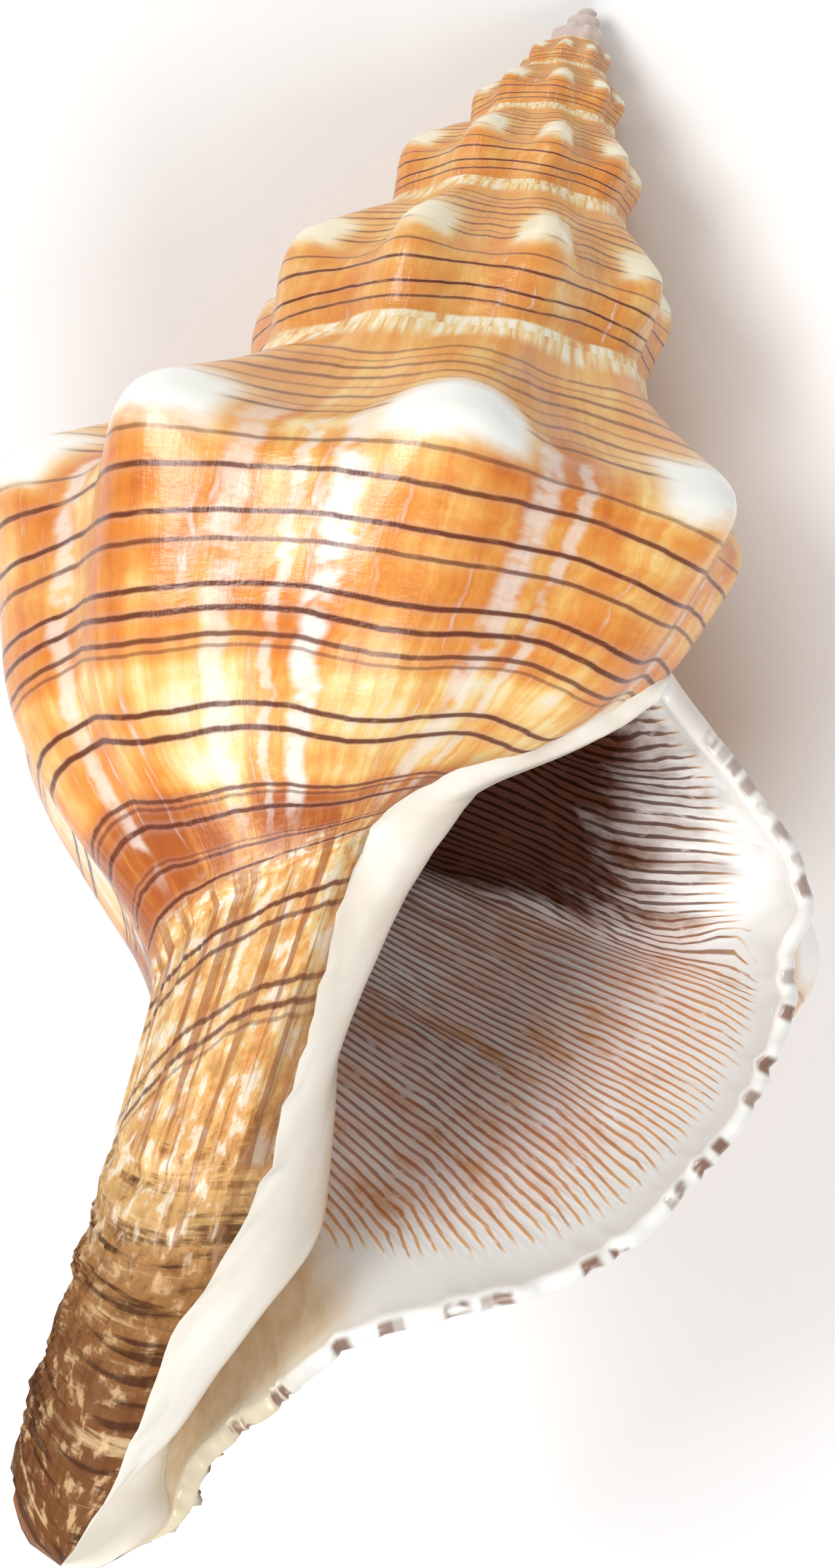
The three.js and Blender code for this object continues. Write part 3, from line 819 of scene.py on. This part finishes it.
# pale streaks down the last whorl: turn, half width, ink
PALE_STREAKS = [
    (-0.07, 0.012, 0.8), (-0.21, 0.01, 0.7), (-0.33, 0.012, 0.7), (-0.44, 0.009, 0.6),
    (-0.55, 0.009, 0.6), (-0.655, 0.009, 0.55), (-0.683, 0.005, 0.6), (-0.706, 0.011, 0.95),
    (-0.795, 0.011, 0.65), (-0.818, 0.006, 0.55), (-0.93, 0.012, 0.6)]


# colours of the shell's parts
LINE_BROWN, HALO_PINK = tint(98, 38, 11), tint(196, 160, 150)
STREAK_WHITE, KNOB_WHITE, SPIRE_WHITE = tint(243, 236, 226), tint(250, 250, 243), tint(248, 238, 208)
KNOB_RIM, SLOPE_YELLOW, SPIRE_ORANGE = tint(247, 214, 148), tint(250, 200, 124), tint(236, 166, 90)
BELT_BROWN, STAIN_BROWN, APEX_PINK = tint(164, 78, 24), tint(140, 92, 56), tint(226, 212, 206)
# the last two colours on the next line are painted shade deep in the mouth, on threads and ground
LIP_PORCELAIN, THREAD_SHADE, WALL_SHADE = tint(252, 252, 250), tint(86, 40, 18), tint(44, 16, 5)
LIP_BACK, RIM_WHITE, RIM_TAN = tint(240, 230, 206), tint(241, 240, 235), tint(226, 212, 184)
SPOT_BROWN, GROOVE_CREAM = tint(116, 68, 32), tint(236, 212, 178)
# both colours on the next line are painted shade: inside the inner side, and on the groove's floor deeper
# in
PILLAR_SHADE, GROOVE_FLOOR_SHADE = tint(52, 26, 15), tint(110, 76, 54)


def paint_outside(paint, turn, across, pattern):
    """Colour of the outside, laid on in order: ground, pale streaks, neck, white knobs, dark lines,
    stain, seams, apex and canal. Also returns the lines' halo and the masks of knobs and canal."""
    place, height, fold = pattern
    jog = paint.grain(paint.times(turn, 9.0), paint.times(across, 5.0))
    drift = paint.plus(turn, paint.times(jog, 0.022))
    broad = paint.grain(paint.times(drift, 16.0), paint.times(across, 1.4), 3.0, 2.0)
    fine = paint.grain(paint.times(drift, 90.0), paint.times(across, 2.2), 7.0, 4.0, 0.6)
    patch = paint.grain(paint.times(drift, 24.0), paint.times(across, 9.0), 1.0, 3.0)
    ground = paint_ground(paint, turn, across, place, (broad, fine, patch))
    ground = paint.blend(streak_mask(paint, turn, across, fine), ground, STREAK_WHITE)
    ridges = paint.grain(paint.times(paint.plus(turn, paint.times(across, 0.05)), 42.0),
                         paint.times(across, 34.0), 12.0, 4.0, 0.6)
    ground = paint_neck(paint, turn, across, ridges, ground)
    ground, white = paint_knobs(paint, turn, across, height, patch, ground)
    ground, halo = paint_lines(paint, turn, across, place, white, ground)
    ground = paint.blend(stain_mask(paint, turn, across, patch), ground, STAIN_BROWN)
    ground = paint_seams(paint, turn, across, ground)
    ground = paint.blend(paint.step(turn, -4.6, -5.6, 0.85), ground, APEX_PINK)
    low = paint.step(paint.plus(fold, paint.around(ridges, 0.35)), 1.52, 1.66)
    return paint.blend(low, ground, paint_canal(paint, turn, fold)), halo, white, low


def paint_ground(paint, turn, across, place, grains):
    """Ground colour: three noises drawn out along the growth lines, paler on the base and the neck,
    redder in a belt between them, paler again on the spire and the shoulder's slope."""
    broad, fine, patch = grains
    tone = paint.plus(paint.times(broad, 0.42), paint.times(fine, 0.3), paint.times(patch, 0.28))
    pale_base = paint.bump_between(place, 0.93, 1.1, 0.04)
    pale_neck = paint.bump_between(place, 1.37, 1.6, 0.05)
    red_belt = paint.bump_between(paint.plus(place, paint.times(patch, 0.08), -0.04), 1.17, 1.33, 0.06)
    tone = paint.plus(tone, paint.times(pale_base, -0.085), paint.times(pale_neck, -0.075),
                      paint.times(red_belt, 0.02), 0.035)
    ground = paint.ramp(tone, [
        (0.36, tint(242, 228, 202)), (0.42, tint(245, 212, 142)), (0.47, tint(238, 182, 100)),
        (0.53, tint(230, 150, 66)), (0.6, tint(218, 126, 44)), (0.7, tint(182, 90, 28))])
    belt = paint.times(red_belt, paint.step(tone, 0.42, 0.6, 0.8))
    ground = paint.blend(belt, ground, BELT_BROWN)
    spire = paint.step(turn, -0.97, -1.03)
    ground = paint.blend(paint.times(spire, 0.4), ground, SPIRE_ORANGE)
    slope = paint.step(across, 0.3, 0.22)
    return paint.blend(paint.times(slope, 0.35), ground, SLOPE_YELLOW)


def streak_mask(paint, turn, across, fine):
    """Where the pale streaks run down the whorl: the placed ones and those of the fine noise, below
    the shoulder and broken here and there."""
    streaks, _ = paint.lines(kinked_turn(paint, turn, across), PALE_STREAKS)
    breaks = paint.grain(paint.times(turn, 30.0), paint.times(across, 12.0), 5.0)
    reach = paint.times(paint.bump_between(across, 0.36, 1.2, 0.12), paint.step(breaks, 0.32, 0.5))
    return paint.times(paint.math("MAXIMUM", streaks, paint.step(fine, 0.6, 0.7, 0.5)), reach)


def kinked_turn(paint, turn, across):
    """The turn of a growth line with small kinks, for the pale streaks."""
    kinks = paint.grain(paint.times(turn, 5.0), paint.times(across, 14.0), 6.0, 3.0)
    return paint.plus(turn, paint.around(kinks, 0.02))


def paint_neck(paint, turn, across, ridges, ground):
    """The neck: cream, with brown and pale growth ridges and brown ribs down it."""
    on_neck = paint.bump_between(across, 1.38, 1.72, 0.08)
    ribs = paint.grain(paint.times(paint.plus(turn, paint.times(across, 0.05)), 60.0),
                       paint.times(across, 2.5), 15.0, 2.0)
    coats = [(0.4, tint(244, 212, 150)), (paint.step(ridges, 0.5, 0.6, 0.7), tint(222, 146, 66)),
             (paint.step(ridges, 0.6, 0.7, 0.6), tint(150, 92, 48)),
             (paint.step(ridges, 0.49, 0.39, 0.85), tint(249, 238, 214)),
             (paint.step(ribs, 0.52, 0.6, 0.75), tint(166, 94, 42))]
    for cover, colour in coats:
        ground = paint.blend(paint.times(on_neck, cover), ground, colour)
    return ground


def paint_knobs(paint, turn, across, height, patch, ground):
    """White knobs in a yellow rim, larger on the last whorl; also returns the white's mask."""
    last = paint.step(turn, -1.25, -1.05)
    edge = paint.plus(across, paint.around(patch, 0.12))
    off_top = paint.less(edge, paint.plus(0.24, paint.times(last, 0.06)))
    off_end = paint.less(edge, paint.plus(0.41, paint.times(last, 0.07)))
    rim = paint.times(paint.step(off_top, -0.09, -0.01), paint.step(off_end, 0.03, -0.06),
                      paint.step(height, 0.25, 0.6))
    white = paint.times(paint.step(off_top, -0.05, 0.02), paint.step(off_end, -0.005, -0.075),
                        paint.step(height, 0.45, 0.72))
    ground = paint.blend(paint.times(rim, 0.6), ground, KNOB_RIM)
    return paint.blend(white, ground, paint.blend(last, SPIRE_WHITE, KNOB_WHITE)), white


def paint_lines(paint, turn, across, place, white, ground):
    """Dark lines round the whorl with a faint halo, weaker where a noise is low and left out on the
    white of the knobs; also returns the halo's mask."""
    breaks = paint.grain(paint.times(turn, 45.0), paint.times(across, 30.0), 2.0)
    ink, halo = paint.lines(place, SPIRAL_LINES)
    ink = paint.times(ink, paint.plus(0.62, paint.times(paint.step(breaks, 0.25, 0.45), 0.38)))
    off_white = paint.less(1.0, paint.times(white, 0.97))
    ground = paint.blend(paint.times(halo, off_white, 0.22), ground, HALO_PINK)
    return paint.blend(paint.times(ink, off_white), ground, LINE_BROWN), halo


def stain_mask(paint, turn, across, patch):
    """Where the base is stained beside the end of the inner lip."""
    edge = paint.plus(-0.86, paint.times(paint.step(across, 1.1, 1.45), 0.055))
    beside = paint.plus(paint.less(turn, edge), paint.times(patch, 0.05))
    return paint.times(paint.step(beside, 0.065, 0.02), paint.step(across, 1.1, 1.2),
                       paint.step(turn, -0.95, -0.9), 0.65)


def paint_seams(paint, turn, across, ground):
    """Pale wrinkled band, with a wavy edge, on both sides of the seams."""
    wave = paint.around(paint.grain(paint.times(turn, 10.0), 0.0, 4.0, 2.0), 0.05)
    waved = paint.plus(across, wave)
    crest = paint.times(paint.step(waved, 0.745, 0.762), paint.step(turn, -0.99, -1.01))
    seam_band = paint.math("MAXIMUM", crest, paint.step(waved, 0.05, 0.02))
    wrinkle = paint.grain(paint.times(turn, 130.0), paint.times(across, 6.0), 1.0, 3.0)
    return paint.blend(seam_band, ground, paint.ramp(wrinkle, [
        (0.35, tint(230, 165, 90)), (0.5, tint(247, 219, 160)), (0.62, tint(252, 244, 222))]))


def paint_canal(paint, turn, fold):
    """Brown canal with dark and pale growth bands along the fold, blotches and a pinkish foot."""
    canal = paint.ramp(paint.less(fold, 1.0), [
        (0.42, tint(244, 212, 140)), (0.56, tint(232, 196, 132)), (0.64, tint(174, 126, 76)),
        (0.76, tint(128, 82, 46)), (0.92, tint(112, 70, 38)), (0.965, tint(178, 118, 80)),
        (0.99, tint(206, 154, 126))])
    rings = paint.grain(paint.times(fold, 52.0), paint.times(turn, 3.0), 9.0, 5.0, 0.65, 0.4)
    blotch = paint.grain(paint.times(fold, 46.0), paint.times(turn, 26.0), 3.0, 4.0, 0.6)
    coats = [(paint.step(blotch, 0.52, 0.64, 0.6), tint(232, 196, 146)),
             (paint.step(blotch, 0.48, 0.36, 0.6), tint(110, 66, 34)),
             (paint.step(rings, 0.5, 0.4, 0.85), tint(70, 38, 20)),
             (paint.step(rings, 0.56, 0.68, 0.6), tint(236, 206, 156))]
    for cover, colour in coats:
        canal = paint.blend(cover, canal, colour)
    return canal


def paint_wall(paint, turn, across, pattern):
    """Colour of the mouth's wall: porcelain white along the lip, then brown threads on a warm
    ground, blotched with orange, and painted shade that darkens it inwards; a tan groove at the
    foot, with painted shade darker deeper in. Also returns the painted shade's mask, left out in the
    groove."""
    phase, reach, dark = pattern
    cloud = paint.grain(paint.times(turn, 22.0), paint.times(phase, 0.35), 3.0, 4.0, 0.6)
    thread = thread_mask(paint, turn, across, phase, reach)
    ground = paint.blend(paint.step(reach, 0.0, 0.07), LIP_PORCELAIN, paint.ramp(cloud, [
        (0.35, tint(255, 250, 248)), (0.5, tint(252, 232, 226)), (0.65, tint(244, 204, 178))]))
    blotch = paint.times(paint.step(cloud, 0.56, 0.7, 0.4), paint.bump_between(reach, 0.03, 0.14, 0.02))
    ground = paint.blend(blotch, ground, tint(206, 142, 78))
    brown = paint.ramp(paint.times(reach, 8.0), [
        (0.0, tint(234, 172, 78)), (0.25, tint(220, 144, 64)), (0.6, tint(196, 126, 86)),
        (1.0, tint(164, 106, 80))])
    upper = paint.times(paint.step(across, 0.5, 0.3), paint.step(reach, 0.0, 0.02))
    brown = paint.blend(upper, brown, tint(98, 52, 38))
    brown = paint.blend(paint.step(cloud, 0.5, 0.62, 0.6), brown, tint(178, 102, 44))
    colour = paint.blend(paint.times(thread, 0.85), ground, brown)
    # painted shade: threads and ground turn near black-brown deeper in the mouth
    shade = paint.step(paint.plus(dark, paint.around(cloud, 1.6)), 0.0, 1.0, 0.97)
    colour = paint.blend(shade, colour, paint.blend(thread, THREAD_SHADE, WALL_SHADE))
    groove = paint.step(across, 1.24, 1.36)
    tan = paint.ramp(cloud, [(0.35, tint(246, 228, 198)), (0.65, tint(228, 200, 164))])
    tan = paint.blend(paint.step(turn, -0.03, -0.005), tan, tint(242, 234, 214))
    # painted shade: the groove turns darker tan deeper behind the lip
    tan = paint.blend(paint.step(turn, -0.16, -0.3), tan, tint(150, 112, 82))
    return paint.blend(groove, colour, tan), paint.times(shade, paint.less(1.0, groove))


def thread_mask(paint, turn, across, phase, reach):
    """Where the wall's threads are: above a level of a cosine of their phase, which is roughened and
    higher near their ends, and weaker where a noise is low."""
    wave = paint.math("COSINE", paint.times(phase, TURN))
    jitter = paint.grain(paint.times(turn, 60.0), paint.times(across, 60.0), 1.0)
    breaks = paint.grain(paint.times(turn, 70.0), paint.times(across, 55.0), 8.0)
    level = paint.plus(0.14, paint.step(reach, 0.05, 0.0, 0.34))
    thread = paint.step(paint.less(paint.plus(wave, paint.around(jitter, 0.45)), level), 0.0, 0.55)
    kept = paint.plus(0.35, paint.times(paint.step(breaks, 0.3, 0.42), 0.65))
    return paint.times(thread, paint.step(reach, -0.002, 0.012), kept)


def paint_inner_lip(paint, share, across):
    """Colour of the inner lip and pillar: cream porcelain, tan down the groove, and painted shade:
    dark inside, brown on the groove's floor deeper in.
    """
    cloud = paint.grain(paint.times(share, 3.0), paint.times(across, 7.0), 5.0, 3.0)
    white = paint.ramp(cloud, [(0.35, tint(252, 247, 236)), (0.65, tint(238, 228, 212))])
    groove = paint.times(paint.step(share, 0.42, 0.62), paint.step(across, 1.3, 1.5))
    white = paint.blend(groove, white, GROOVE_CREAM)
    groove_floor = paint.step(across, 1.35, 1.55)
    # painted shade: the inner side turns dark where it runs into the shell, above the groove
    inside = paint.times(paint.step(share, 0.5, 0.85, 0.96), paint.less(1.0, groove_floor))
    white = paint.blend(inside, white, PILLAR_SHADE)
    # painted shade: the groove's floor turns brown deeper in
    return paint.blend(paint.times(groove_floor, paint.step(share, 1.05, 1.35)), white, GROOVE_FLOOR_SHADE)


def paint_rim(paint, across, zone, halo):
    """Colour of the lip's rim: white, tan down the canal, with a brown spot where a line ends."""
    ground = paint.blend(paint.step(across, 1.35, 1.5), RIM_WHITE, RIM_TAN)
    kept = paint.step(paint.grain(paint.times(across, 22.0), zone, 4.0, 2.0), 0.36, 0.48)
    spots = paint.times(halo, kept, paint.bump_between(zone, 0.0, 0.55, 0.25))
    return paint.blend(paint.times(spots, 0.95), ground, SPOT_BROWN)


def shell_paint():
    """The shell's one material: outside, rim, mouth's wall and inner lip by zone; the canal and the
    painted shade in the mouth are duller than the rest."""
    paint = Paint("shell_porcelain")
    turn, across, zone = paint.read("place")
    pattern = paint.read("pattern")
    colour, halo, white, low = paint_outside(paint, turn, across, pattern)
    near_lip = paint.step(turn, -0.035, -0.008, 0.8)
    wall, depth = paint_wall(paint, turn, across, pattern)
    on_rim = paint.times(paint.step(zone, 0.0, 0.08), paint.step(zone, 1.3, 1.2))
    on_wall = paint.times(paint.step(zone, 0.9, 1.0), paint.step(zone, 1.6, 1.4))
    on_lip = paint.step(zone, 1.4, 1.6)
    colour = paint.blend(near_lip, colour, LIP_BACK)
    colour = paint.blend(on_rim, colour, paint_rim(paint, across, zone, halo))
    colour = paint.blend(on_wall, colour, wall)
    colour = paint.blend(on_lip, colour, paint_inner_lip(paint, turn, across))
    outer = paint.less(1.0, paint.step(zone, 0.0, 0.2))
    dull = paint.times(low, outer)
    inner = paint.math("MAXIMUM", paint.times(on_wall, depth), dull)
    inputs = paint.shader.inputs
    paint.put(inputs["Base Color"], colour)
    paint.put(inputs["Roughness"], paint.plus(0.26, paint.times(dull, 0.24)))
    paint.put(inputs["Coat Weight"], paint.times(paint.less(1.0, inner), 0.22))
    paint.put(inputs["Coat Roughness"], 0.1)
    paint.put(inputs["Specular IOR Level"], paint.plus(0.42, paint.times(inner, -0.3)))
    paint.put(inputs["Normal"], growth_relief(paint, turn, across, outer, white, low))
    return paint.material


def growth_relief(paint, turn, across, outer, white, low):
    """Bump of the finest growth lines and pits, on the outside only, and less on the white knobs."""
    lines = paint.grain(paint.times(turn, 190.0), paint.times(across, 7.0), 2.0, 4.0, 0.6)
    pits = paint.grain(paint.times(turn, 120.0), paint.times(across, 60.0), 8.0, 3.0, 0.6)
    lines = paint.times(lines, paint.less(0.6, paint.times(low, 0.55)))
    bump = paint.tree.nodes.new("ShaderNodeBump")
    paint.put(bump.inputs["Strength"], 0.5)
    paint.put(bump.inputs["Distance"], 0.00035)
    paint.put(bump.inputs["Height"], paint.times(paint.plus(lines, paint.times(pits, 0.5)), outer,
                                                 paint.less(1.0, paint.times(white, 0.8))))
    return bump.outputs[0]


shell, placed = build_shell()
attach(shell, "root")
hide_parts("shell")
shell.data.materials.append(shell_paint())
place_camera(placed)
lay_floor()
light_room()
